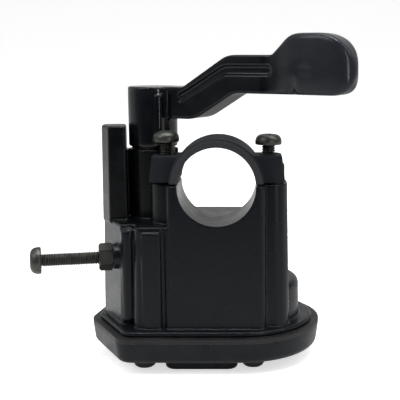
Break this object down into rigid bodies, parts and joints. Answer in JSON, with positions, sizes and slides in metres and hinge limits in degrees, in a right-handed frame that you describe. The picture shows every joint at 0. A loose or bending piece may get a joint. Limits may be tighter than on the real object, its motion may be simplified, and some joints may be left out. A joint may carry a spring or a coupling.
{
  "type": "handlebar thumb lever control",
  "caption": "Black die-cast thumb lever control with a split handlebar clamp, a cranked paddle lever, a travel limiter screw with lock nut and a gasketed bottom cover.",
  "frame": {"origin": "middle of the handlebar clamp bore, on its axis", "axes": "+X across the bar towards the lever paddle, +Y along the handlebar bore, +Z from the bottom cover up through the clamp cap"},
  "size_m": [0.0919, 0.0563, 0.0957],
  "materials": {
    "casting_paint": "semi-gloss black paint on die cast alloy",
    "lever_gloss": "glossy black paint",
    "cover_paint": "semi-gloss black paint",
    "gasket_rubber": "matte black rubber",
    "screw_steel": "dark olive-black plated steel",
    "bright_steel": "zinc plated steel",
    "bush_brass": "plain machined",
    "sleeve_plastic": "matte black moulding"
  },
  "bodies": {
    "body": {"housing": "casting_paint", "cover_gasket": "gasket_rubber", "cover": "cover_paint", "cover_screws": "screw_steel", "upper_bush": "bush_brass", "lower_bush": "bush_brass", "dust_seal": "gasket_rubber", "spring_anchor_pin": "bright_steel", "return_spring": "bright_steel", "cable_inlet_sleeve": "sleeve_plastic"},
    "lever": {"thumb_lever": "lever_gloss", "lever_shaft": "bright_steel", "hub_washer": "bright_steel", "pull_arm": "bright_steel", "stop_arm": "bright_steel", "arm_spacer": "bright_steel", "shaft_washer": "bright_steel", "shaft_nut": "bright_steel"},
    "cap": {"clamp_cap": "casting_paint"},
    "left_clamp_screw": {"clamp_screw_left": "screw_steel"},
    "right_clamp_screw": {"clamp_screw_right": "screw_steel"},
    "limiter": {"limiter_screw": "screw_steel"},
    "lock_nut": {"limiter_lock_nut": "screw_steel"}
  },
  "joints": [
    {"name": "lever_swing", "type": "hinge", "parent": "body", "child": "lever", "pos_m": [-0.0196, 0.011, 0], "axis": [0, 0, -1], "range_deg": [0, 50], "stiffness_Nm_per_rad": 0.05, "springref_deg": -20.05},
    {"name": "cap_lift", "type": "slide", "parent": "body", "child": "cap", "axis": [0, 0, 1], "range_m": [0, 0.0012]},
    {"name": "left_screw_travel", "type": "slide", "parent": "body", "child": "left_clamp_screw", "axis": [0, 0, 1], "range_m": [-0.0034, 0.002]},
    {"name": "right_screw_travel", "type": "slide", "parent": "body", "child": "right_clamp_screw", "axis": [0, 0, 1], "range_m": [-0.0026, 0.002]},
    {"name": "limiter_adjust", "type": "slide", "parent": "body", "child": "limiter", "axis": [-0.9781, -0.2079, 0], "range_m": [-0.009, 0.002]},
    {"name": "lock_nut_travel", "type": "slide", "parent": "body", "child": "lock_nut", "axis": [-0.9781, -0.2079, 0], "range_m": [0, 0.005]}
  ]
}
